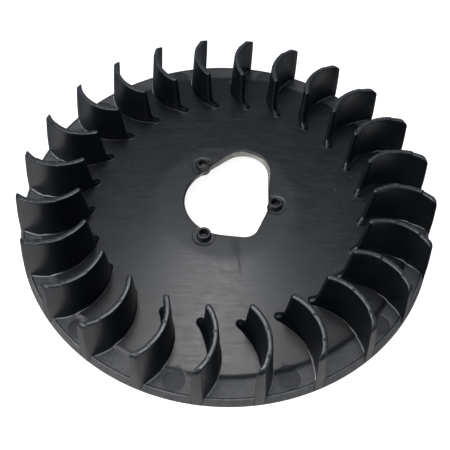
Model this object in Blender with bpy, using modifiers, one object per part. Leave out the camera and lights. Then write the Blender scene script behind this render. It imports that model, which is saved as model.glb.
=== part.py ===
"""Moulded flywheel cooling fan: a dished disc with a ring of curved blades on its front face.

Units are metres. +Z is the rotation axis and points to the bladed front. The origin is on the axis,
in the plane of the rim's bottom edge. One moulding, modelled as its features, each a separate solid.
"""

import math

import bmesh
import bpy
from mathutils import Matrix, Vector

MM = 0.001
GAP = 0.3 * MM

# Disc, from the outside in
RIM_RADIUS = 118.0 * MM
RIM_TOP_RADIUS = 116.2 * MM
RIM_INNER_RADIUS = 113.0 * MM
BAND_Z = 4.1 * MM
BAND_RADIUS = 106.3 * MM
CREASE_RADIUS = 104.0 * MM
CREASE_Z = 5.3 * MM
LAND_RADIUS = 40.5 * MM
LAND_Z = 9.5 * MM
WALL = 2.8 * MM
DISC_STEPS = 96

# Hub opening: the hull of three circles, each (x, y, radius), on the back face and on the front face
PILOT = (0.0, 0.0, 24.2 * MM)
SIDE_LOBE = (10.3 * MM, -16.4 * MM, 8.5 * MM)
TOP_LOBE_BACK = (9.4 * MM, 20.5 * MM, 14.6 * MM)
TOP_LOBE_FRONT = (9.4 * MM, 21.4 * MM, 15.8 * MM)
OPENING_STEPS = 72

# Locating bosses on the front of the hub, and the drive lugs under them
BOSS_AZIMUTHS = (-114.5, -5.1, 122.3)
BOSS_CIRCLE = 28.1 * MM
BOSS_RADIUS = 3.9 * MM
BORE_RADIUS = 2.5 * MM
BOSS_TOP_Z = 12.5 * MM
BORE_FLOOR_Z = 8.4 * MM
LUG_BOTTOM_Z = 5.4 * MM
BOSS_STEPS = 24

# Blades, each point as (radius, sideways offset) along and across the blade's own radial line
BLADE_COUNT = 24
FIRST_BLADE_AZIMUTH = 174.5
FOOT_INNER = (79.3 * MM, 0.5 * MM)
FOOT_MIDDLE = (98.4 * MM, 7.0 * MM)
FOOT_OUTER = (117.7 * MM, 0.6 * MM)
TIP_INNER = (80.8 * MM, 1.5 * MM)
TIP_MIDDLE = (95.5 * MM, 7.0 * MM)
TIP_OUTER = (113.8 * MM, -0.2 * MM)
TIP_INNER_Z = 32.4 * MM
TIP_OUTER_Z = 31.2 * MM
TOE_CENTRE = (77.0 * MM, -2.6 * MM)
FOOT_THICKNESS = 6.0 * MM
TIP_THICKNESS = 2.9 * MM
END_TAPER = 0.7
NOSE_BULGE = 0.7
EDGE_ROUNDING = 0.7 * MM
# Height above the disc, and how much of the toe is there
TOE_STEPS = ((0.3 * MM, 1.0), (1.2 * MM, 0.85), (2.2 * MM, 0.38), (4.0 * MM, 0.1), (7.0 * MM, 0.0))
STATIONS = 9


def clear_scene():
    for obj in list(bpy.data.objects):
        bpy.data.objects.remove(obj, do_unlink=True)


def new_collection(name, visible):
    collection = bpy.data.collections.new(name)
    bpy.context.scene.collection.children.link(collection)
    collection.hide_render = not visible
    return collection


def plastic(name, shade, roughness):
    material = bpy.data.materials.new(name)
    material.use_nodes = True
    shader = material.node_tree.nodes["Principled BSDF"]
    shader.inputs["Base Color"].default_value = (shade, shade, shade * 1.06, 1.0)
    shader.inputs["Roughness"].default_value = roughness
    shader.inputs["Metallic"].default_value = 0.0
    return material


def add_object(name, mesh, collection, material=None):
    obj = bpy.data.objects.new(name, mesh)
    collection.objects.link(obj)
    if material:
        mesh.materials.clear()
        mesh.materials.append(material)
    return obj


def add_cutter(name, mesh, collection):
    cutter = add_object(name, mesh, collection)
    cutter.hide_render = True
    cutter.display_type = "WIRE"
    return cutter


def cut(obj, cutter):
    modifier = obj.modifiers.new("cut_" + cutter.name, "BOOLEAN")
    modifier.operation = "DIFFERENCE"
    modifier.solver = "EXACT"
    modifier.object = cutter


def smooth(mesh):
    mesh.shade_smooth()
    mesh.set_sharp_from_angle(angle=math.radians(35))


def polar(radius, azimuth):
    angle = math.radians(azimuth)
    return Vector((radius * math.cos(angle), radius * math.sin(angle), 0.0))


def disc_top(radius):
    """Height of the disc's front face at a distance from the axis."""
    if radius <= LAND_RADIUS:
        return LAND_Z
    if radius <= CREASE_RADIUS:
        share = (radius - LAND_RADIUS) / (CREASE_RADIUS - LAND_RADIUS)
        return LAND_Z + share * (CREASE_Z - LAND_Z)
    if radius <= BAND_RADIUS:
        share = (radius - CREASE_RADIUS) / (BAND_RADIUS - CREASE_RADIUS)
        return CREASE_Z + share * (BAND_Z - CREASE_Z)
    return BAND_Z


def foot_height(radius):
    """The disc's front face as a blade's foot follows it, straight over the step outside the crease."""
    if radius <= CREASE_RADIUS:
        return disc_top(radius)
    share = (radius - CREASE_RADIUS) / (RIM_TOP_RADIUS - CREASE_RADIUS)
    return CREASE_Z + share * (BAND_Z - CREASE_Z)


def turned(name, profile, steps, collection, material):
    """A closed (radius, height) profile, run down its outer side, turned about the Z axis."""
    mesh = bpy.data.meshes.new(name)
    points = [(radius, 0.0, height) for radius, height in profile]
    edges = [(i, (i + 1) % len(points)) for i in range(len(points))]
    mesh.from_pydata(points, edges, [])
    obj = add_object(name, mesh, collection, material)
    screw = obj.modifiers.new("turn", "SCREW")
    screw.axis = "Z"
    screw.angle = math.tau
    screw.steps = steps
    screw.render_steps = steps
    screw.use_merge_vertices = True
    screw.merge_threshold = 0.00001
    screw.use_smooth_shade = True
    return obj


def cylinder_mesh(name, radius, bottom, top, steps):
    mesh = bpy.data.meshes.new(name)
    bm = bmesh.new()
    place = Matrix.Translation((0.0, 0.0, (bottom + top) / 2))
    bmesh.ops.create_cone(
        bm, cap_ends=True, segments=steps, radius1=radius, radius2=radius, depth=top - bottom, matrix=place
    )
    bm.to_mesh(mesh)
    bm.free()
    smooth(mesh)
    return mesh


def hull_outline(circles, steps):
    """Points round the convex hull of circles, one for each direction that the outline faces."""
    points = []
    for step in range(steps):
        facing = polar(1.0, 360.0 * step / steps)
        x, y, radius = max(circles, key=lambda c: c[0] * facing.x + c[1] * facing.y + c[2])
        points.append(Vector((x, y, 0.0)) + radius * facing)
    return points


def loft_mesh(name, rings):
    """A closed body through rings of equal length, each counterclockwise from above, bottom ring first."""
    mesh = bpy.data.meshes.new(name)
    bm = bmesh.new()
    loops = [[bm.verts.new(point) for point in ring] for ring in rings]
    for lower, upper in zip(loops, loops[1:]):
        for i in range(len(lower)):
            j = (i + 1) % len(lower)
            bm.faces.new((lower[i], lower[j], upper[j], upper[i]))
    bm.faces.new(reversed(loops[0]))
    bm.faces.new(loops[-1])
    bmesh.ops.recalc_face_normals(bm, faces=bm.faces)
    bm.to_mesh(mesh)
    bm.free()
    smooth(mesh)
    return mesh


def at_height(points, height):
    return [Vector((point.x, point.y, height)) for point in points]


def opening_mesh():
    """The hub opening's cutter, which widens towards the front at its top lobe."""
    back = hull_outline((PILOT, SIDE_LOBE, TOP_LOBE_BACK), OPENING_STEPS)
    front = hull_outline((PILOT, SIDE_LOBE, TOP_LOBE_FRONT), OPENING_STEPS)
    back_z = LAND_Z - WALL
    rings = [at_height(back, back_z - WALL), at_height(back, back_z)]
    rings += [at_height(front, LAND_Z), at_height(front, LAND_Z + WALL)]
    return loft_mesh("hub_opening", rings)


def add_hub(parts, cutters, material):
    radius = LAND_RADIUS - GAP / 2
    plate = cylinder_mesh("hub_plate", radius, LAND_Z - WALL, LAND_Z, DISC_STEPS)
    hub = add_object("hub_plate", plate, parts, material)
    cut(hub, add_cutter("hub_opening", opening_mesh(), cutters))
    for number, azimuth in enumerate(BOSS_AZIMUTHS, start=1):
        bore = cylinder_mesh("boss_bore", BORE_RADIUS, BORE_FLOOR_Z, LAND_Z + WALL, BOSS_STEPS)
        cutter = add_cutter(f"boss_bore_{number}", bore, cutters)
        cutter.location = polar(BOSS_CIRCLE, azimuth)
        cut(hub, cutter)


def add_bosses_and_lugs(parts, material):
    for number, azimuth in enumerate(BOSS_AZIMUTHS, start=1):
        tube = [(BOSS_RADIUS, BOSS_TOP_Z), (BOSS_RADIUS, LAND_Z + GAP)]
        tube += [(BORE_RADIUS, LAND_Z + GAP), (BORE_RADIUS, BOSS_TOP_Z)]
        boss = turned(f"locating_boss_{number}", tube, BOSS_STEPS, parts, material)
        boss.location = polar(BOSS_CIRCLE, azimuth)
        lug_top = LAND_Z - WALL - GAP
        lug_mesh = cylinder_mesh("drive_lug", BOSS_RADIUS, LUG_BOTTOM_Z, lug_top, BOSS_STEPS)
        lug = add_object(f"drive_lug_{number}", lug_mesh, parts, material)
        lug.location = polar(BOSS_CIRCLE, azimuth)


def add_disc_rings(parts, web_material, rim_material):
    inner = LAND_RADIUS + GAP / 2
    outer = CREASE_RADIUS - GAP / 2
    web = [(outer, disc_top(outer)), (outer, disc_top(outer) - WALL)]
    web += [(inner, disc_top(inner) - WALL), (inner, disc_top(inner))]
    turned("fan_web", web, DISC_STEPS, parts, web_material)

    inner = CREASE_RADIUS + GAP / 2
    rim = [(BAND_RADIUS, BAND_Z), (RIM_TOP_RADIUS, BAND_Z), (RIM_RADIUS, 0.0), (RIM_INNER_RADIUS, 0.0)]
    rim += [(RIM_INNER_RADIUS, BAND_Z - WALL), (BAND_RADIUS, BAND_Z - WALL)]
    rim += [(inner, disc_top(inner) - WALL), (inner, disc_top(inner))]
    turned("outer_rim", rim, DISC_STEPS, parts, rim_material)


def between(start, end, share):
    return tuple(a + share * (b - a) for a, b in zip(start, end))


def arc_point(inner, middle, outer, share):
    """A point on the circular arc through three points: share 0 is inner and share 1 is outer."""
    chord = Vector(outer) - Vector(inner)
    across = Vector((-chord.y, chord.x)).normalized()
    rise = (Vector(middle) - Vector(inner)).dot(across)
    half = chord.length / 2
    radius = (half * half + rise * rise) / (2 * rise)
    centre = (Vector(inner) + Vector(outer)) / 2 + across * (rise - radius)
    swing = math.asin(half / radius)
    angle = (2 * share - 1) * swing
    along = chord.normalized()
    return centre + radius * (math.sin(angle) * along + math.cos(angle) * across)


def blade_outline(height_share, toe, trim):
    """One section of a blade, counterclockwise. The toe sweeps its inner end aside, and its outer end is cut square."""
    inner = between(between(FOOT_INNER, TIP_INNER, height_share), TOE_CENTRE, toe)
    middle = between(FOOT_MIDDLE, TIP_MIDDLE, height_share)
    outer = between(FOOT_OUTER, TIP_OUTER, height_share)
    line = [arc_point(inner, middle, outer, i / (STATIONS - 1)) for i in range(STATIONS)]
    thickness = FOOT_THICKNESS + height_share * (TIP_THICKNESS - FOOT_THICKNESS)
    left, right, nose = [], [], []
    for i, point in enumerate(line):
        along = (line[min(i + 1, STATIONS - 1)] - line[max(i - 1, 0)]).normalized()
        across = Vector((-along.y, along.x))
        taper = END_TAPER + (1 - END_TAPER) * math.sin(math.pi * i / (STATIONS - 1))
        half = taper * thickness / 2 - trim
        if i == STATIONS - 1:
            half /= abs(across.y)
            across = Vector((0.0, math.copysign(1.0, across.y)))
        left.append(point + half * across)
        right.append(point - half * across)
        if i == 0:
            nose.append(point - NOSE_BULGE * half * along)
    return right + list(reversed(left)) + nose


def blade_mesh():
    tip_rise = TIP_INNER_Z - BAND_Z
    rings = []
    for rise, toe in TOE_STEPS:
        outline = blade_outline(rise / tip_rise, toe, 0.0)
        rings.append([Vector((p.x, p.y, foot_height(p.length) + rise)) for p in outline])
    for drop, trim in ((EDGE_ROUNDING, 0.0), (0.0, EDGE_ROUNDING)):
        ring = []
        for point in blade_outline(1.0, 0.0, trim):
            share = (point.x - TIP_INNER[0]) / (TIP_OUTER[0] - TIP_INNER[0])
            height = TIP_INNER_Z + share * (TIP_OUTER_Z - TIP_INNER_Z) - drop
            ring.append(Vector((point.x, point.y, height)))
        rings.append(ring)
    return loft_mesh("blade", rings)


def add_blades(parts, material):
    mesh = blade_mesh()
    for number in range(BLADE_COUNT):
        blade = add_object(f"blade_{number + 1:02d}", mesh, parts, material)
        azimuth = FIRST_BLADE_AZIMUTH - number * 360.0 / BLADE_COUNT
        blade.rotation_euler = (0.0, 0.0, math.radians(azimuth))


def main():
    clear_scene()
    parts = new_collection("flywheel_cooling_fan", True)
    cutters = new_collection("cutters", False)
    disc_plastic = plastic("disc_plastic", 0.030, 0.42)
    blade_plastic = plastic("blade_plastic", 0.024, 0.38)
    boss_plastic = plastic("boss_plastic", 0.034, 0.40)
    add_hub(parts, cutters, disc_plastic)
    add_disc_rings(parts, disc_plastic, disc_plastic)
    add_bosses_and_lugs(parts, boss_plastic)
    add_blades(parts, blade_plastic)


main()
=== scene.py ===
"""Looks of a moulded flywheel cooling fan: one seamless disc with blades, bosses and lugs, in black plastic.

Units are metres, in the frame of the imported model: +Z is the rotation axis, towards the bladed front.
"""

import math
import random

import bmesh
import bpy
from mathutils import Matrix, Vector


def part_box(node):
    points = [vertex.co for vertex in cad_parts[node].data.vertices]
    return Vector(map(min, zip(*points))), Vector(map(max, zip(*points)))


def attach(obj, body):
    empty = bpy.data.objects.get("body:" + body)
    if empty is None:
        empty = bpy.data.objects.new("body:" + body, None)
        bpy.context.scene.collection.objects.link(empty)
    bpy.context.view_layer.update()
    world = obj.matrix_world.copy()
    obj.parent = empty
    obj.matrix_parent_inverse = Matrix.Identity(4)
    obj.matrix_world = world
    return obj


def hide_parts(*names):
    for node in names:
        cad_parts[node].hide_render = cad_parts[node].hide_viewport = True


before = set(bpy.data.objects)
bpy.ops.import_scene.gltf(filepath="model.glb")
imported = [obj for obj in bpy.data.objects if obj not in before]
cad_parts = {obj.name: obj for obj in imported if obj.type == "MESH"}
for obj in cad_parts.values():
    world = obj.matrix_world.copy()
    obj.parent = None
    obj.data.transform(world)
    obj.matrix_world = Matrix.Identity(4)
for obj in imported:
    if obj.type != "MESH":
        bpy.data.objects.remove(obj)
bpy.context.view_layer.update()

MM = 0.001
BODY = "root"

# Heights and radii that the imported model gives
HUB_LOW, HUB_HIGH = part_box("hub_plate")
WEB_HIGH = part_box("fan_web")[1]
RIM_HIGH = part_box("outer_rim")[1]
BLADE_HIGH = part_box("blade_01")[1]
LAND_Z = HUB_HIGH.z
WALL = HUB_HIGH.z - HUB_LOW.z
LAND_RADIUS = HUB_HIGH.x + 0.15 * MM
CREASE_RADIUS = WEB_HIGH.x + 0.15 * MM
CREASE_Z = RIM_HIGH.z
RIM_RADIUS = RIM_HIGH.x
TIP_Z = BLADE_HIGH.z

# Disc details
BAND_Z = 4.1 * MM
BAND_RADIUS = 106.3 * MM
RIM_TOP_RADIUS = 116.2 * MM
RIM_INNER_RADIUS = 113.0 * MM
LIP_START = 114.9 * MM
LIP_HEIGHT = 0.28 * MM
LIP_GROOVE = 0.18 * MM
LAND_BLEND = 3.0 * MM
EDGE_RADIUS = 0.35 * MM
EJECTOR_COUNT = 12
EJECTOR_CIRCLE = 109.4 * MM
EJECTOR_RADIUS = 5.8 * MM
EJECTOR_AZIMUTH = -71.5
EJECTOR_DEPTH = 0.22 * MM
STAIN_AZIMUTH = -79.0

# Rows of faces across the disc's front
LAND_ROWS = 32
CONE_ROWS = 27
BAND_ROWS = 20

# Hub opening: the hull of three circles, each (x, y, radius), at the back and at the front
PILOT = (0.0, 0.0, 24.2 * MM)
SIDE_LOBE = (10.3 * MM, -16.4 * MM, 8.5 * MM)
TOP_LOBE_BACK = (9.4 * MM, 20.5 * MM, 14.6 * MM)
TOP_LOBE_FRONT = (9.4 * MM, 21.4 * MM, 15.8 * MM)
LIP_RADIUS = 0.8 * MM

# Bosses
BORE_RADIUS = 2.5 * MM
BORE_DEPTH = 1.1 * MM
MOAT_RADIUS = 6.7 * MM
MOAT_DEPTH = 0.16 * MM

# Blades, each point as (radius, sideways offset) in the blade's own frame
BLADE_COUNT = 24
FIRST_BLADE_AZIMUTH = 174.5
FOOT_LINE = ((79.3 * MM, 0.5 * MM), (98.4 * MM, 7.0 * MM), (117.85 * MM, 0.6 * MM))
TIP_LINE = ((80.8 * MM, 1.5 * MM), (95.5 * MM, 7.0 * MM), (113.8 * MM, -0.2 * MM))
TOE_CENTRE = (77.0 * MM, -2.0 * MM)
TOE_THICKNESS = 2.6 * MM
TOE_WEB = 1.7 * MM
TOE_BULGE = 1.1
TOE_HEIGHT = 0.8 * MM
TOE_FADE = 1.5 * MM
TOE_TOP = 9.0 * MM
FOOT_THICKNESS = 6.0 * MM
TIP_THICKNESS = 2.9 * MM
INNER_TAPER = 0.55
OUTER_TAPER = 0.65
END_EDGE = 1.0 * MM
TIP_END_DROP = 1.2 * MM
RIDGE_STEPS = ((92.8 * MM, 0.35 * MM), (106.4 * MM, 0.6 * MM))
STEP_SHARE = 0.008
CORNER_SHARE = 0.86
STATION_COUNT = 44
RIDGE_ROUNDING = 0.8 * MM
CORNER_ROUNDING = 2.5 * MM
FILLET = 0.6 * MM
SINK = 0.35 * MM

# Camera
LENS = 51.15
SENSOR_WIDTH = 36.0
CAMERA_ELEVATION = 55.69
CAMERA_ROLL = -2.6
CAMERA_PLACE = (-0.24 * MM, -219.5 * MM, 305.1 * MM)

# Studio: the floor and backdrop, and the colours of what the gloss reflects
FLOOR_SIZE = 10.0
FLOOR_Z = -0.2 * MM
FLOOR_GLOW = 0.86
BACKDROP_RADIUS = 4.6
DOME_LOW = (0.10, 0.14, 0.19, 1.0)
DOME_HIGH = (0.15, 0.18, 0.22, 1.0)
FLOOR_NEAR = (0.85, 0.85, 0.85, 1.0)
FLOOR_FAR = (0.12, 0.13, 0.15, 1.0)
FLOOR_HORIZON = (0.30, 0.31, 0.33, 1.0)


def polar(radius, azimuth):
    angle = math.radians(azimuth)
    return Vector((radius * math.cos(angle), radius * math.sin(angle), 0.0))


def between(start, end, share):
    return start + share * (end - start)


def ease(low, high, value):
    """A smooth step from 0 at low to 1 at high."""
    share = min(max((value - low) / (high - low), 0.0), 1.0)
    return share * share * (3 - 2 * share)


# ---------------------------------------------------------------- materials


class Nodes:
    """Short calls for building a material's node tree."""

    def __init__(self, name):
        self.material = bpy.data.materials.new(name)
        self.material.use_nodes = True
        self.tree = self.material.node_tree
        self.shader = self.tree.nodes["Principled BSDF"]
        coordinates = self.tree.nodes.new("ShaderNodeTexCoord")
        self.place = coordinates.outputs["Object"]
        self.normal = coordinates.outputs["Normal"]

    def put(self, socket, value):
        if isinstance(value, bpy.types.NodeSocket):
            self.tree.links.new(value, socket)
        else:
            socket.default_value = value

    def math(self, operation, *values, clamp=False):
        node = self.tree.nodes.new("ShaderNodeMath")
        node.operation = operation
        node.use_clamp = clamp
        for socket, value in zip(node.inputs, values):
            self.put(socket, value)
        return node.outputs[0]

    def noise(self, scale, detail=3.0, roughness=0.5, place=None, stretch=None, shift=(0.0, 0.0, 0.0)):
        mapping = self.tree.nodes.new("ShaderNodeMapping")
        self.put(mapping.inputs["Vector"], place or self.place)
        mapping.inputs["Scale"].default_value = stretch or (1.0, 1.0, 1.0)
        mapping.inputs["Location"].default_value = shift
        node = self.tree.nodes.new("ShaderNodeTexNoise")
        self.put(node.inputs["Vector"], mapping.outputs[0])
        node.inputs["Scale"].default_value = scale
        node.inputs["Detail"].default_value = detail
        node.inputs["Roughness"].default_value = roughness
        return node.outputs["Fac"]

    def span(self, value, low, high, start=0.0, end=1.0):
        """Value from low..high carried to start..end, held at its ends."""
        node = self.tree.nodes.new("ShaderNodeMapRange")
        node.clamp = True
        self.put(node.inputs["Value"], value)
        for name, number in (("From Min", low), ("From Max", high), ("To Min", start), ("To Max", end)):
            self.put(node.inputs[name], number)
        return node.outputs["Result"]

    def mix(self, share, first, second):
        node = self.tree.nodes.new("ShaderNodeMix")
        node.data_type = "RGBA"
        self.put(node.inputs["Factor"], share)
        self.put(node.inputs["A"], first)
        self.put(node.inputs["B"], second)
        return node.outputs["Result"]

    def separate(self, vector):
        node = self.tree.nodes.new("ShaderNodeSeparateXYZ")
        self.put(node.inputs[0], vector)
        return node.outputs

    def combine(self, x, y, z):
        node = self.tree.nodes.new("ShaderNodeCombineXYZ")
        for socket, value in zip(node.inputs, (x, y, z)):
            self.put(socket, value)
        return node.outputs[0]

    def bump(self, height, distance, strength=1.0, normal=None):
        node = self.tree.nodes.new("ShaderNodeBump")
        node.inputs["Distance"].default_value = distance
        node.inputs["Strength"].default_value = strength
        self.put(node.inputs["Height"], height)
        if normal:
            self.put(node.inputs["Normal"], normal)
        return node.outputs[0]

    def specks(self, scale, size, chance, shift=(0.0, 0.0, 0.0)):
        """Small round spots: 1 on a spot. Only a share of the cells holds one."""
        mapping = self.tree.nodes.new("ShaderNodeMapping")
        self.put(mapping.inputs["Vector"], self.place)
        mapping.inputs["Location"].default_value = shift
        cells = self.tree.nodes.new("ShaderNodeTexVoronoi")
        self.put(cells.inputs["Vector"], mapping.outputs[0])
        cells.inputs["Scale"].default_value = scale
        spot = self.span(cells.outputs["Distance"], size, size * 0.5)
        kept = self.math("LESS_THAN", self.separate(cells.outputs["Color"])[0], chance)
        return self.math("MULTIPLY", spot, kept)


def grey(value, blue=1.0):
    return (value, value * (1 + 0.3 * (blue - 1)), value * blue, 1.0)


def blade_plastic():
    """Black satin plastic, slightly bluish, with a faint grain, flow marks, scuffs and dust specks, and
    painted highlights along the blade feet and on the ridge tops.
    """
    n = Nodes("fan_blade_plastic")
    cloud = n.noise(60.0, 4.0, 0.55)
    grain = n.noise(3200.0, 2.0, 0.5)
    drag = n.noise(700.0, 3.0, 0.6, stretch=(1.0, 1.0, 0.18))
    scuffs = n.span(n.noise(520.0, 5.0, 0.7, stretch=(1.0, 0.5, 1.4), shift=(3.1, 0.7, 1.9)), 0.62, 0.74)
    dust = n.specks(420.0, 0.16, 0.035)
    colour = n.mix(n.span(cloud, 0.35, 0.65), grey(0.0032, 1.9), grey(0.0052, 1.7))
    colour = n.mix(n.math("MULTIPLY", scuffs, 0.35), colour, grey(0.045, 1.05))
    colour = n.mix(n.math("MULTIPLY", dust, 0.6), colour, grey(0.16, 1.0))
    x, y, z = n.separate(n.place)
    radius = n.math("SQRT", n.math("ADD", n.math("MULTIPLY", x, x), n.math("MULTIPLY", y, y)))
    face = n.span(radius, LAND_RADIUS, CREASE_RADIUS, LAND_Z, CREASE_Z)
    face = n.math("MINIMUM", face, n.span(radius, CREASE_RADIUS, BAND_RADIUS, CREASE_Z, BAND_Z))
    # Painted highlight: a light line along each blade's foot, just above the disc's face, stands in for light
    # caught by the fillet.
    foot = n.span(n.math("SUBTRACT", z, face), 0.42 * MM, 0.18 * MM)
    foot = n.math("MULTIPLY", foot, n.span(radius, RIM_TOP_RADIUS - 0.5 * MM, LIP_START - 1.0 * MM))
    foot = n.math("MULTIPLY", foot, n.span(cloud, 0.35, 0.6, 0.45, 1.0))
    colour = n.mix(foot, colour, grey(0.36, 1.05))
    # Painted sheen: ridge faces that look upwards near the blade's top are lightened, streaked by the flow
    # marks; the same mask also makes them a little glossier.
    ridge = n.span(n.separate(n.normal)[2], 0.75, 0.97)
    ridge = n.math("MULTIPLY", ridge, n.span(z, 25.0 * MM, 28.0 * MM))
    colour = n.mix(n.math("MULTIPLY", ridge, n.span(drag, 0.35, 0.65, 0.2, 1.0)), colour, grey(0.06, 1.1))
    n.put(n.shader.inputs["Base Color"], colour)
    rough = n.span(cloud, 0.3, 0.7, 0.30, 0.40)
    rough = n.math("ADD", rough, n.math("MULTIPLY", scuffs, 0.12))
    rough = n.math("SUBTRACT", rough, n.math("MULTIPLY", ridge, 0.06))
    n.put(n.shader.inputs["Roughness"], rough)
    relief = n.bump(grain, 0.012 * MM)
    relief = n.bump(drag, 0.02 * MM, normal=relief)
    n.put(n.shader.inputs["Normal"], relief)
    n.shader.inputs["IOR"].default_value = 1.5
    return n.material


def disc_plastic():
    """The disc's plastic: greyer inside the crease, with rings on the land, streaks on the cone and specks;
    with a painted highlight on the rim's bead, painted shade in the groove before it, and painted light on
    the far wall of the opening.
    """
    n = Nodes("fan_disc_plastic")
    x, y, z = n.separate(n.place)
    radius = n.math("SQRT", n.math("ADD", n.math("MULTIPLY", x, x), n.math("MULTIPLY", y, y)))
    angle = n.math("ARCTAN2", y, x)
    cloud = n.noise(28.0, 4.0, 0.55)
    mottle = n.noise(240.0, 6.0, 0.7)
    grain = n.noise(3000.0, 2.0, 0.5)
    streaks = n.noise(800.0, 4.0, 0.65, stretch=(0.06, 1.0, 1.0), shift=(0.3, 1.7, 0.0))
    round_place = n.combine(n.math("MULTIPLY", radius, 900.0), n.math("MULTIPLY", angle, 0.8), 0.0)
    rings = n.noise(1.0, 3.0, 0.6, place=round_place)
    inside_crease = n.span(radius, CREASE_RADIUS + 0.4 * MM, CREASE_RADIUS - 0.2 * MM)
    band = n.span(radius, CREASE_RADIUS + 1.0 * MM, BAND_RADIUS + 0.2 * MM)
    land = n.span(radius, LAND_RADIUS + 12.0 * MM, LAND_RADIUS - 4.0 * MM)
    front = n.span(n.separate(n.normal)[2], -0.5, -0.3)
    band = n.math("MULTIPLY", band, front)

    tone = n.mix(n.span(cloud, 0.3, 0.7), grey(0.005, 1.6), grey(0.009, 1.3))
    # A lighter, mottled grey over the land and cone, inside the crease.
    tone = n.mix(n.math("MULTIPLY", inside_crease, n.span(mottle, 0.3, 0.7, 0.0, 0.3)), tone, grey(0.024, 1.0))
    tone = n.mix(n.math("MULTIPLY", band, n.span(mottle, 0.3, 0.7, 0.35, 1.0)), tone, grey(0.09, 1.02))
    tone = n.mix(n.math("MULTIPLY", n.span(streaks, 0.45, 0.7), 0.22), tone, grey(0.045, 1.0))
    scratches = n.span(n.noise(1500.0, 2.0, 0.5, stretch=(0.05, 1.0, 1.0), shift=(0.9, 0.2, 0.0)), 0.68, 0.76)
    tone = n.mix(n.math("MULTIPLY", n.math("MULTIPLY", scratches, inside_crease), 0.35), tone, grey(0.08, 1.0))
    dust = n.specks(300.0, 0.13, 0.03)
    tone = n.mix(n.math("MULTIPLY", dust, 0.7), tone, grey(0.22, 1.0))

    # A dull radial stain runs from the opening across the land, and on as a thin line
    stain_angle = math.radians(STAIN_AZIMUTH)
    along = n.math("ABSOLUTE", n.math("SUBTRACT", angle, stain_angle))
    offset = n.math("MULTIPLY", along, radius)
    wobble = n.span(n.noise(600.0, 3.0, 0.6), 0.0, 1.0, -0.6 * MM, 0.6 * MM)
    offset = n.math("ADD", offset, wobble)
    broad = n.math("MULTIPLY", n.span(offset, 3.0 * MM, 2.0 * MM), n.span(radius, 40.0 * MM, 35.0 * MM))
    thin = n.math("MULTIPLY", n.span(offset, 0.9 * MM, 0.3 * MM), n.span(radius, 51.0 * MM, 47.0 * MM))
    stain = n.math("MULTIPLY", n.math("MAXIMUM", broad, thin), front)
    tone = n.mix(n.math("MULTIPLY", stain, 0.6), tone, (0.008, 0.012, 0.011, 1.0))
    turn = math.radians(360 / EJECTOR_COUNT)
    offset = n.math("SUBTRACT", angle, math.radians(EJECTOR_AZIMUTH))
    offset = n.math("WRAP", offset, turn / 2, -turn / 2)
    away_x = n.math("SUBTRACT", n.math("MULTIPLY", radius, n.math("COSINE", offset)), EJECTOR_CIRCLE)
    away_y = n.math("MULTIPLY", radius, n.math("SINE", offset))
    away = n.math("ADD", n.math("MULTIPLY", away_x, away_x), n.math("MULTIPLY", away_y, away_y))
    away = n.math("SQRT", away)
    # Painted light: on the far side of the opening its wall is painted a light brownish grey, standing in for
    # light from the pale floor below.
    wall = n.span(z, LAND_Z - 0.2 * MM, LAND_Z - 0.7 * MM)
    wall = n.math("MULTIPLY", wall, n.span(y, 10.0 * MM, 18.0 * MM))
    wall = n.math("MULTIPLY", wall, n.span(radius, 39.0 * MM, 38.0 * MM))
    tone = n.mix(n.math("MULTIPLY", wall, n.span(mottle, 0.3, 0.7, 0.5, 1.0)), tone, grey(0.30, 0.85))
    # Painted highlight: a light line along the top of the rim's bead.
    painted_lip_highlight = n.span(n.math("ABSOLUTE", n.math("SUBTRACT", radius, LIP_START + 0.9 * MM)), 0.35 * MM, 0.15 * MM)
    painted_lip_highlight = n.math("MULTIPLY", painted_lip_highlight, front)
    tone = n.mix(n.math("MULTIPLY", painted_lip_highlight, n.span(mottle, 0.35, 0.65, 0.3, 1.0)), tone, grey(0.20, 1.0))
    # Painted shade: a dark line in the small groove before the rim's bead.
    groove = n.math("ABSOLUTE", n.math("SUBTRACT", radius, LIP_START + 0.25 * MM))
    groove = n.span(groove, 0.35 * MM, 0.2 * MM)
    groove = n.math("MULTIPLY", groove, front)
    tone = n.mix(n.math("MULTIPLY", groove, 0.8), tone, grey(0.006, 1.2))
    mark = n.math("MULTIPLY", n.span(away, EJECTOR_RADIUS + 0.1 * MM, EJECTOR_RADIUS - 0.4 * MM), front)
    tone = n.mix(n.math("MULTIPLY", mark, n.span(mottle, 0.3, 0.7, 0.7, 1.0)), tone, grey(0.008, 1.3))
    n.put(n.shader.inputs["Base Color"], tone)

    rough = n.span(mottle, 0.35, 0.65, 0.295, 0.345)
    rough = n.math("ADD", rough, n.math("MULTIPLY", band, 0.2))
    rough = n.math("ADD", rough, n.math("MULTIPLY", n.span(streaks, 0.4, 0.7), 0.06))
    rough = n.math("ADD", rough, n.math("MULTIPLY", stain, 0.12))
    n.put(n.shader.inputs["Roughness"], rough)
    relief = n.bump(grain, 0.012 * MM)
    relief = n.bump(n.math("MULTIPLY", streaks, inside_crease), 0.008 * MM, normal=relief)
    relief = n.bump(n.math("MULTIPLY", rings, land), 0.03 * MM, normal=relief)
    n.put(n.shader.inputs["Normal"], relief)
    n.shader.inputs["IOR"].default_value = 1.5
    return n.material


# ---------------------------------------------------------------- mesh helpers


def finish_piece(name, mesh, material, node_names, sharp_angle=40.0):
    mesh.materials.append(material)
    mesh.shade_smooth()
    mesh.set_sharp_from_angle(angle=math.radians(sharp_angle))
    piece = bpy.data.objects.new(name, mesh)
    bpy.context.scene.collection.objects.link(piece)
    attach(piece, BODY)
    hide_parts(*node_names)
    return piece


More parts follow.
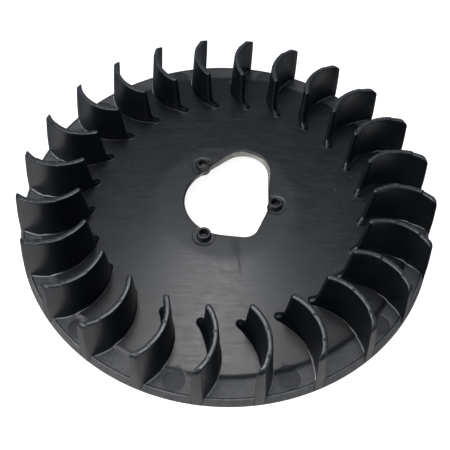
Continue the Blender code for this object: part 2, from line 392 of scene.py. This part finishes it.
def ring_mesh(name, rings, closed_tube=False):
    """Quads between rings of equal length. A closed tube also joins its last ring to its first."""
    mesh = bpy.data.meshes.new(name)
    bm = bmesh.new()
    loops = [[bm.verts.new(point) for point in ring] for ring in rings]
    pairs = list(zip(loops, loops[1:]))
    if closed_tube:
        pairs.append((loops[-1], loops[0]))
    for first, second in pairs:
        for i in range(len(first)):
            j = (i + 1) % len(first)
            bm.faces.new((first[i], first[j], second[j], second[i]))
    bmesh.ops.recalc_face_normals(bm, faces=bm.faces)
    bm.to_mesh(mesh)
    bm.free()
    return mesh


def rounded_corner(before, corner, after, radius, count=4):
    """Points round a corner of a (radius, height) profile."""
    a, b, c = Vector(before), Vector(corner), Vector(after)
    start = b + (a - b).normalized() * radius
    end = b + (c - b).normalized() * radius
    points = []
    for i in range(count + 1):
        t = i / count
        points.append(tuple((1 - t) ** 2 * start + 2 * t * (1 - t) * b + t * t * end))
    return points


# ---------------------------------------------------------------- disc


def wall_height(radius):
    """Height of the rim's flared outer wall."""
    return BAND_Z * (RIM_RADIUS - radius) / (RIM_RADIUS - RIM_TOP_RADIUS)


def disc_top(radius):
    """Height of the disc's front face, without its fine details. The land rolls softly into the cone."""
    slope = (LAND_Z - CREASE_Z) / (CREASE_RADIUS - LAND_RADIUS)
    into_blend = radius - LAND_RADIUS + LAND_BLEND
    if into_blend <= 0:
        return LAND_Z
    if into_blend < 2 * LAND_BLEND:
        return LAND_Z - slope * into_blend**2 / (4 * LAND_BLEND)
    if radius <= CREASE_RADIUS:
        return between(LAND_Z, CREASE_Z, (radius - LAND_RADIUS) / (CREASE_RADIUS - LAND_RADIUS))
    if radius <= BAND_RADIUS:
        return between(CREASE_Z, BAND_Z, (radius - CREASE_RADIUS) / (BAND_RADIUS - CREASE_RADIUS))
    if radius <= RIM_TOP_RADIUS:
        return BAND_Z
    return wall_height(radius)


def opening_radius(circles, azimuth):
    """Distance from the axis to the edge of the circles' convex hull, in one direction."""
    ray = polar(1.0, azimuth)
    best = None
    for step in range(720):
        facing = polar(1.0, step * 0.5)
        along = facing.dot(ray)
        if along < 0.05:
            continue
        support = max(c[0] * facing.x + c[1] * facing.y + c[2] for c in circles)
        distance = support / along
        if best is None or distance < best:
            best = distance
    return best


def boss_centres():
    centres = []
    for number in (1, 2, 3):
        low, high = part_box(f"locating_boss_{number}")
        centres.append(Vector(((low.x + high.x) / 2, (low.y + high.y) / 2, 0.0)))
    return centres


BOSSES = boss_centres()
EJECTORS = [polar(EJECTOR_CIRCLE, EJECTOR_AZIMUTH + 360 / EJECTOR_COUNT * i) for i in range(EJECTOR_COUNT)]


def detail_height(x, y):
    """Fine relief on the disc's front: moats and bores at the bosses, and the ejector marks' outlines."""
    relief = 0.0
    for centre in BOSSES:
        away = math.hypot(x - centre.x, y - centre.y)
        if away < MOAT_RADIUS + 1 * MM:
            relief -= MOAT_DEPTH * (1 - ease(MOAT_RADIUS - 0.5 * MM, MOAT_RADIUS, away))
            relief -= BORE_DEPTH * (1 - ease(BORE_RADIUS + 0.2 * MM, BORE_RADIUS + 1.0 * MM, away))
    for centre in EJECTORS:
        away = math.hypot(x - centre.x, y - centre.y)
        if away < EJECTOR_RADIUS + 1 * MM:
            groove = abs(away - EJECTOR_RADIUS) / (0.45 * MM)
            relief -= EJECTOR_DEPTH * max(0.0, 1 - groove)
            relief -= 0.06 * MM * (1 - ease(EJECTOR_RADIUS - 0.4 * MM, EJECTOR_RADIUS, away))
    return relief


def disc_azimuths():
    """Azimuths round the disc, close together where the ejector marks are."""
    coarse, fine, half_width = 0.75, 0.25, 3.5
    azimuths = []
    azimuth = EJECTOR_AZIMUTH - half_width
    end = azimuth + 360.0
    pitch = 360.0 / EJECTOR_COUNT
    while azimuth < end - 0.1:
        azimuths.append(azimuth)
        in_mark = (azimuth - EJECTOR_AZIMUTH + half_width) % pitch < 2 * half_width - 0.01
        azimuth += fine if in_mark else coarse
    return azimuths


def front_profile():
    """(radius, height) of the disc's front from the land's edge outwards, and down the rim's wall."""
    cone_end = CREASE_RADIUS - 1.2 * MM
    points = []
    for i in range(CONE_ROWS + 1):
        radius = between(LAND_RADIUS, cone_end, i / CONE_ROWS)
        points.append((radius, disc_top(radius)))
    crease = (CREASE_RADIUS, CREASE_Z)
    points += rounded_corner(points[-1], crease, (BAND_RADIUS, BAND_Z), 1.1 * MM)[1:]
    points += rounded_corner(crease, (BAND_RADIUS, BAND_Z), (LIP_START, BAND_Z), 1.1 * MM)
    start = points[-1][0]
    for i in range(1, BAND_ROWS + 1):
        points.append((between(start, LIP_START, i / BAND_ROWS), BAND_Z))
    points += [(LIP_START + 0.15 * MM, BAND_Z - LIP_GROOVE), (LIP_START + 0.35 * MM, BAND_Z - LIP_GROOVE)]
    lip_z = BAND_Z + LIP_HEIGHT
    points += [(LIP_START + 0.55 * MM, BAND_Z + 0.1 * MM), (LIP_START + 0.72 * MM, lip_z - 0.03 * MM)]
    points += [(LIP_START + 0.9 * MM, lip_z), (LIP_START + 1.08 * MM, lip_z - 0.04 * MM)]
    wall_start = RIM_TOP_RADIUS + 0.05 * MM
    points += [(RIM_TOP_RADIUS - 0.06 * MM, BAND_Z + 0.05 * MM), (wall_start, wall_height(wall_start))]
    for share in (0.2, 0.4, 0.6, 0.8, 0.93):
        radius = between(RIM_TOP_RADIUS, RIM_RADIUS, share)
        points.append((radius, wall_height(radius)))
    return points


def back_profile():
    """(radius, height) of the disc's back from the rim's bottom edge inwards to the hub's back face."""
    points = [(RIM_RADIUS - 0.03 * MM, 0.0), (RIM_RADIUS - 0.6 * MM, 0.0)]
    points += [(RIM_INNER_RADIUS + EDGE_RADIUS, 0.0), (RIM_INNER_RADIUS, EDGE_RADIUS)]
    under_z = BAND_Z - WALL
    corner = (RIM_INNER_RADIUS - 0.2 * MM, under_z)
    points += rounded_corner((RIM_INNER_RADIUS, EDGE_RADIUS), corner, (BAND_RADIUS, under_z), 0.5 * MM)
    for share in (0.3, 0.7):
        points.append((between(RIM_INNER_RADIUS, BAND_RADIUS, share), under_z))
    points.append((BAND_RADIUS, under_z))
    for i in range(0, 13):
        radius = between(CREASE_RADIUS, LAND_RADIUS, i / 12)
        points.append((radius, disc_top(radius) - WALL))
    return points


def disc_rings(azimuths):
    """Rings of points: out across the front, down the rim's wall, in under the back, up the opening."""
    front_edge = [opening_radius((PILOT, SIDE_LOBE, TOP_LOBE_FRONT), a) for a in azimuths]
    back_edge = [opening_radius((PILOT, SIDE_LOBE, TOP_LOBE_BACK), a) for a in azimuths]
    rays = [polar(1.0, a) for a in azimuths]

    def ring(radii, heights, detailed):
        points = []
        for ray, radius, height in zip(rays, radii, heights):
            x, y = ray.x * radius, ray.y * radius
            points.append((x, y, height + (detail_height(x, y) if detailed else 0.0)))
        return points

    count = len(azimuths)
    rings = []
    land_end = LAND_RADIUS - 0.2 * MM
    for turn in (0.0, 18.0, 36.0, 54.0, 72.0):
        setback = LIP_RADIUS * (1 - math.cos(math.radians(turn)))
        drop = LIP_RADIUS * (1 - math.sin(math.radians(turn)))
        rings.append(ring([edge + setback for edge in front_edge], [LAND_Z - drop] * count, False))
    for row in range(LAND_ROWS):
        share = row / LAND_ROWS
        radii = [between(edge + LIP_RADIUS, land_end, share) for edge in front_edge]
        rings.append(ring(radii, [disc_top(radius) for radius in radii], True))
    for radius, height in front_profile():
        rings.append(ring([radius] * count, [height] * count, True))
    for radius, height in back_profile():
        rings.append(ring([radius] * count, [height] * count, False))
    back_z = LAND_Z - WALL
    for share in (0.3, 0.7):
        radii = [between(LAND_RADIUS, edge + 0.3 * MM, share) for edge in back_edge]
        rings.append(ring(radii, [back_z] * count, False))
    for setback, rise in ((0.3, 0.0), (0.08, 0.08), (0.0, 0.3)):
        radii = [edge + setback * MM for edge in back_edge]
        rings.append(ring(radii, [back_z + rise * MM] * count, False))
    for share in (0.33, 0.66):
        radii = [between(back, front, share) for back, front in zip(back_edge, front_edge)]
        rings.append(ring(radii, [between(back_z + 0.3 * MM, LAND_Z - LIP_RADIUS, share)] * count, False))
    return rings


def add_disc(material):
    mesh = ring_mesh("fan_disc", disc_rings(disc_azimuths()), closed_tube=True)
    return finish_piece("fan_disc", mesh, material, ("hub_plate", "fan_web", "outer_rim"))


# ---------------------------------------------------------------- blades


def arc_point(line, share):
    """A point on the circular arc through a line's three points: share 0 is its inner end and 1 its outer."""
    inner, middle, outer = (Vector(point) for point in line)
    chord = outer - inner
    across = Vector((-chord.y, chord.x)).normalized()
    rise = (middle - inner).dot(across)
    half = chord.length / 2
    radius = (half * half + rise * rise) / (2 * rise)
    centre = (inner + outer) / 2 + across * (rise - radius)
    angle = (2 * share - 1) * math.asin(half / radius)
    return centre + radius * (math.sin(angle) * chord.normalized() + math.cos(angle) * across)


def line_at(height_share):
    line = []
    for foot, tip in zip(FOOT_LINE, TIP_LINE):
        line.append(tuple(between(a, b, height_share) for a, b in zip(foot, tip)))
    return line


def share_at(line, x):
    """How far along the arc its radius is x, by halving."""
    low, high = 0.0, 1.0
    for _ in range(24):
        middle = (low + high) / 2
        if arc_point(line, middle).x < x:
            low = middle
        else:
            high = middle
    return high


STEP_SHARES = [share_at(TIP_LINE, radius) for radius, _ in RIDGE_STEPS]


def station_shares():
    """Shares along a blade from its leading edge to its outer end, with a close pair at each ridge step."""
    even = [i / (STATION_COUNT - 1) for i in range(STATION_COUNT)]
    shares = [share - 0.14 * math.sin(2 * math.pi * share) / math.pi for share in even]
    for step in STEP_SHARES:
        shares = [share for share in shares if abs(share - step) > 1.6 * STEP_SHARE]
        shares += [step - STEP_SHARE, step + STEP_SHARE]
    return sorted(shares)


SHARES = station_shares()


def section(height_share, toe, trim, end_setback):
    """One level of a blade: its convex side, its hollow side and its nose, each a list of (point, share)."""
    line = line_at(height_share)
    line[0] = tuple(between(a, b, toe) for a, b in zip(line[0], TOE_CENTRE))
    end_x = line[2][0] - end_setback
    last_share = share_at(line, end_x)
    middle = []
    for share in SHARES:
        if share > CORNER_SHARE:
            share = between(CORNER_SHARE, last_share, (share - CORNER_SHARE) / (1 - CORNER_SHARE))
        middle.append(arc_point(line, share))
    up = min(max(height_share, 0.0), 1.0)
    thickness = between(FOOT_THICKNESS, TIP_THICKNESS, up)
    inner = between(between(INNER_TAPER, 1.0, up) * thickness, TOE_THICKNESS, toe)
    outer = between(OUTER_TAPER, 1.0, up) * thickness
    outward = (middle[-1] - middle[-2]).normalized()
    last = len(middle) - 1
    convex, hollow = [], []
    for i, point in enumerate(middle):
        along = (middle[min(i + 1, last)] - middle[max(i - 1, 0)]).normalized()
        across = Vector((-along.y, along.x))
        full = between(inner, thickness, ease(0.0, 0.4, SHARES[i]))
        full = between(full, outer, ease(0.6, 1.0, SHARES[i]))
        web = toe * TOE_WEB * (1 - ease(0.08, 0.5, SHARES[i]))
        convex.append(point + (full / 2 - trim) * across)
        hollow.append(point - (full / 2 - trim + web) * across)
    for side, sign in ((convex, 1), (hollow, -1)):
        corner = Vector((end_x, middle[-1].y + sign * (outer / 2 - trim) / outward.x))
        edge = min(END_EDGE, 0.9 * (outer / 2 - trim) / outward.x)
        before = corner - edge * outward
        after = corner - Vector((0.0, sign * edge))
        beyond = [i for i, point in enumerate(side) if point.x > before.x]
        start = min(beyond + [last - 3])
        for i in range(start, last + 1):
            t = (i - start) / (last - start)
            side[i] = (1 - t) ** 2 * before + 2 * t * (1 - t) * corner + t * t * after
    nose = []
    along = (middle[1] - middle[0]).normalized()
    across = Vector((-along.y, along.x))
    half = (inner + toe * TOE_WEB) / 2 - trim
    centre = middle[0] - toe * TOE_WEB / 2 * across
    bulge = between(1.0, TOE_BULGE, toe)
    for step in range(1, 10):
        angle = math.pi * step / 10
        nose.append((centre + half * (math.cos(angle) * across - bulge * math.sin(angle) * along), 0.0))
    return list(zip(convex, SHARES)), list(zip(hollow, SHARES)), nose


def tip_height(share, drops):
    """Height of a blade's top ridge, which falls slowly and steps down twice on its way out."""
    height = TIP_Z - (TIP_END_DROP - sum(drops)) * share
    for step, drop in zip(STEP_SHARES, drops):
        passed = (share - step + STEP_SHARE) / (2 * STEP_SHARE)
        height -= drop * min(max(passed, 0.0), 1.0)
    return height


def blade_rings(drops):
    """Rings from below the disc's face up to the ridge, each (x, y, z) in the blade's own frame."""
    tip_rise = TIP_Z - BAND_Z
    rings = []

    def add(height, height_share, toe, trim, end_setback=0.0):
        convex, hollow, nose = section(height_share, toe, trim, end_setback)
        outline = hollow + list(reversed(convex)) + nose
        rings.append([Vector((p.x, p.y, max(height(p, share), 0.0))) for p, share in outline])

    fillet_steps = ((-SINK, 1.0), (0.0, 1.0), (0.03, 0.76), (0.12, 0.53))
    fillet_steps += ((0.3, 0.29), (0.55, 0.11), (1.0, 0.0))
    for rise, flare in fillet_steps:
        up = rise if rise < 0 else rise * FILLET
        add(lambda p, share, up=up: disc_top(p.length) + up, max(up, 0.0) / tip_rise, 1.0, -flare * FILLET)
    for rise in (1.25, 1.55, 1.9, 2.3, 2.8, 3.5, 4.4, 5.6, 7.0, 9.0):
        up = rise * MM
        toe = (1 - up / TOE_TOP) / (1 + (max(up - TOE_HEIGHT, 0.0) / TOE_FADE) ** 2)
        add(lambda p, share, up=up: disc_top(p.length) + up, up / tip_rise, toe, 0.0)

    for part in (0.2, 0.4, 0.6, 0.8):
        def height(p, share, part=part):
            return between(disc_top(p.length) + TOE_TOP, tip_height(share, drops) - CORNER_ROUNDING, part)
        mean = between(TOE_TOP, tip_rise - CORNER_ROUNDING, part)
        add(height, mean / tip_rise, 0.0, 0.0)

    for drop in (2.5, 1.9, 1.4, 1.1, 0.85, 0.6, 0.38, 0.2, 0.08, 0.0):
        drop *= MM
        trim = RIDGE_ROUNDING - math.sqrt(max(RIDGE_ROUNDING**2 - max(RIDGE_ROUNDING - drop, 0.0) ** 2, 0.0))
        reach = CORNER_ROUNDING - drop
        setback = CORNER_ROUNDING - math.sqrt(max(CORNER_ROUNDING**2 - reach**2, 0.0))

        def height(p, share, drop=drop):
            return tip_height(share, drops) - drop

        add(height, 1 - drop / tip_rise, 0.0, trim, setback)
    return rings


def blade_mesh(name, azimuth, drops):
    rings = blade_rings(drops)
    turn = Matrix.Rotation(math.radians(azimuth), 3, "Z")
    mesh = bpy.data.meshes.new(name)
    bm = bmesh.new()
    loops = [[bm.verts.new(turn @ point) for point in ring] for ring in rings]
    count = len(loops[0])
    for lower, upper in zip(loops, loops[1:]):
        for i in range(count):
            j = (i + 1) % count
            bm.faces.new((lower[i], lower[j], upper[j], upper[i]))
    stations = len(SHARES)
    for loop in (loops[0], loops[-1]):
        for i in range(stations - 1):
            j = 2 * stations - 1 - i
            bm.faces.new((loop[i], loop[i + 1], loop[j - 1], loop[j]))
        bm.faces.new([loop[0], loop[2 * stations - 1]] + [loop[k] for k in range(2 * stations, count)])
    bmesh.ops.remove_doubles(bm, verts=bm.verts, dist=0.000001)
    bmesh.ops.recalc_face_normals(bm, faces=bm.faces)
    bm.to_mesh(mesh)
    bm.free()
    return mesh


def add_blades(material):
    for number in range(1, BLADE_COUNT + 1):
        chance = random.Random(number)
        drops = [drop * chance.uniform(0.8, 1.2) for _, drop in RIDGE_STEPS]
        azimuth = FIRST_BLADE_AZIMUTH - (number - 1) * 360.0 / BLADE_COUNT
        name = f"blade_{number:02d}"
        mesh = blade_mesh(f"fan_{name}", azimuth, drops)
        finish_piece(f"fan_{name}", mesh, material, (name,), 50.0)


# ---------------------------------------------------------------- bosses and lugs


def turned_mesh(name, profile, centre, steps=64):
    rings = []
    for radius, height in profile:
        level = Vector((0.0, 0.0, height))
        rings.append([centre + polar(radius, 360.0 * i / steps) + level for i in range(steps)])
    mesh = ring_mesh(name, rings)
    bm = bmesh.new()
    bm.from_mesh(mesh)
    bmesh.ops.holes_fill(bm, edges=[edge for edge in bm.edges if edge.is_boundary])
    bmesh.ops.recalc_face_normals(bm, faces=bm.faces)
    bm.to_mesh(mesh)
    bm.free()
    return mesh


def add_bosses(material):
    for number, centre in enumerate(BOSSES, start=1):
        low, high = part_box(f"locating_boss_{number}")
        outer = (high.x - low.x) / 2
        foot = LAND_Z - MOAT_DEPTH - SINK
        profile = [(outer + 0.35 * MM, foot), (outer + 0.3 * MM, LAND_Z - MOAT_DEPTH)]
        profile += [(outer + 0.06 * MM, LAND_Z + 0.25 * MM), (outer - 0.02 * MM, high.z - 0.55 * MM)]
        before, corner = (outer - 0.02 * MM, high.z - 1 * MM), (outer - 0.05 * MM, high.z)
        profile += rounded_corner(before, corner, (BORE_RADIUS, high.z), 0.45 * MM)
        corner = (BORE_RADIUS + 0.04 * MM, high.z)
        profile += rounded_corner((outer, high.z), corner, (BORE_RADIUS, LAND_Z), 0.25 * MM)
        profile += [(BORE_RADIUS, LAND_Z - BORE_DEPTH - SINK)]
        mesh = turned_mesh(f"fan_boss_{number}", profile, centre)
        finish_piece(f"fan_boss_{number}", mesh, material, (f"locating_boss_{number}",))


def add_lugs(material):
    for number in (1, 2, 3):
        low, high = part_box(f"drive_lug_{number}")
        centre = Vector(((low.x + high.x) / 2, (low.y + high.y) / 2, 0.0))
        outer = (high.x - low.x) / 2
        profile = [(outer + 0.7 * MM, high.z + SINK), (outer + 0.5 * MM, high.z - 0.1 * MM)]
        profile += [(outer + 0.1 * MM, high.z - 0.5 * MM)]
        profile += rounded_corner((outer, low.z + 1 * MM), (outer, low.z), (0.0, low.z), 0.3 * MM)
        mesh = turned_mesh(f"fan_lug_{number}", profile, centre)
        finish_piece(f"fan_lug_{number}", mesh, material, (f"drive_lug_{number}",))


# ---------------------------------------------------------------- stage


def add_floor():
    """A pale floor and backdrop that glow evenly, as a light table does. Gloss reflects the world instead."""
    n = Nodes("studio_white")
    n.shader.inputs["Base Color"].default_value = (0.5, 0.5, 0.5, 1.0)
    n.shader.inputs["Roughness"].default_value = 0.9
    n.shader.inputs["Specular IOR Level"].default_value = 0.0
    n.shader.inputs["Emission Color"].default_value = (1.0, 1.0, 1.0, 1.0)
    n.shader.inputs["Emission Strength"].default_value = FLOOR_GLOW
    bpy.ops.mesh.primitive_plane_add(size=FLOOR_SIZE, location=(0.0, 0.0, FLOOR_Z))
    floor = bpy.context.object
    floor.name = "studio_floor"
    bpy.ops.mesh.primitive_uv_sphere_add(segments=48, ring_count=24, radius=BACKDROP_RADIUS)
    backdrop = bpy.context.object
    backdrop.name = "studio_backdrop"
    backdrop.visible_diffuse = False
    backdrop.visible_shadow = False
    for piece in (floor, backdrop):
        piece.data.materials.append(n.material)
        piece.visible_glossy = False


def add_softbox(name, elevation, azimuth, distance, width, depth, brightness):
    """A rectangular area light that faces the fan from a direction, given in degrees."""
    light = bpy.data.lights.new(name, "AREA")
    light.shape = "RECTANGLE"
    light.size = width
    light.size_y = depth
    light.energy = brightness * math.pi * width * depth
    lamp = bpy.data.objects.new(name, light)
    bpy.context.scene.collection.objects.link(lamp)
    flat = polar(math.cos(math.radians(elevation)), azimuth)
    place = Vector((flat.x, flat.y, math.sin(math.radians(elevation))))
    lamp.location = place * distance
    lamp.rotation_euler = (-place).to_track_quat("-Z", "Y").to_euler()
    return lamp


def add_world():
    """What the gloss reflects: a dim bluish dome, and below the horizon a floor that is bright in front."""
    world = bpy.data.worlds.new("studio")
    bpy.context.scene.world = world
    world.use_nodes = True
    tree = world.node_tree

    def span(value, low, high, start, end):
        node = tree.nodes.new("ShaderNodeMapRange")
        tree.links.new(value, node.inputs["Value"])
        for name, number in (("From Min", low), ("From Max", high), ("To Min", start), ("To Max", end)):
            node.inputs[name].default_value = number
        return node.outputs["Result"]

    def mix(share, first, second):
        node = tree.nodes.new("ShaderNodeMix")
        node.data_type = "RGBA"
        tree.links.new(share, node.inputs["Factor"])
        for name, value in (("A", first), ("B", second)):
            if isinstance(value, tuple):
                node.inputs[name].default_value = value
            else:
                tree.links.new(value, node.inputs[name])
        return node.outputs["Result"]

    place = tree.nodes.new("ShaderNodeTexCoord").outputs["Generated"]
    split = tree.nodes.new("ShaderNodeSeparateXYZ")
    tree.links.new(place, split.inputs[0])
    toward_back, height = split.outputs["Y"], split.outputs["Z"]
    dome = mix(span(height, 0.0, 0.9, 0.0, 1.0), DOME_LOW, DOME_HIGH)
    floor = mix(span(toward_back, -0.3, 0.35, 0.0, 1.0), FLOOR_NEAR, FLOOR_FAR)
    floor = mix(span(height, -0.5, -0.05, 0.0, 1.0), floor, FLOOR_HORIZON)
    everything = mix(span(height, -0.04, 0.04, 0.0, 1.0), floor, dome)
    tree.links.new(everything, tree.nodes["Background"].inputs["Color"])


def add_camera():
    data = bpy.data.cameras.new("camera")
    data.sensor_width = SENSOR_WIDTH
    data.lens = LENS
    data.clip_start = 0.01
    camera = bpy.data.objects.new("camera", data)
    bpy.context.scene.collection.objects.link(camera)
    elevation, roll = math.radians(CAMERA_ELEVATION), math.radians(CAMERA_ROLL)
    back = Vector((0.0, -math.cos(elevation), math.sin(elevation)))
    right = Vector((1.0, 0.0, 0.0))
    up = back.cross(right)
    turned_right = math.cos(roll) * right - math.sin(roll) * up
    turned_up = math.sin(roll) * right + math.cos(roll) * up
    matrix = Matrix((turned_right, turned_up, back)).transposed().to_4x4()
    matrix.translation = Vector(CAMERA_PLACE)
    camera.matrix_world = matrix
    bpy.context.scene.camera = camera


def main():
    bpy.context.scene.view_settings.view_transform = "Standard"
    blade_look = blade_plastic()
    disc_look = disc_plastic()
    add_disc(disc_look)
    add_blades(blade_look)
    add_bosses(disc_look)
    add_lugs(disc_look)
    add_floor()
    add_world()
    add_softbox("overhead_softbox", 76.0, 96.0, 3.0, 0.66, 1.4, 11.5)
    add_softbox("left_softbox", 42.0, -150.0, 3.0, 2.4, 2.4, 4.2)
    add_camera()


main()
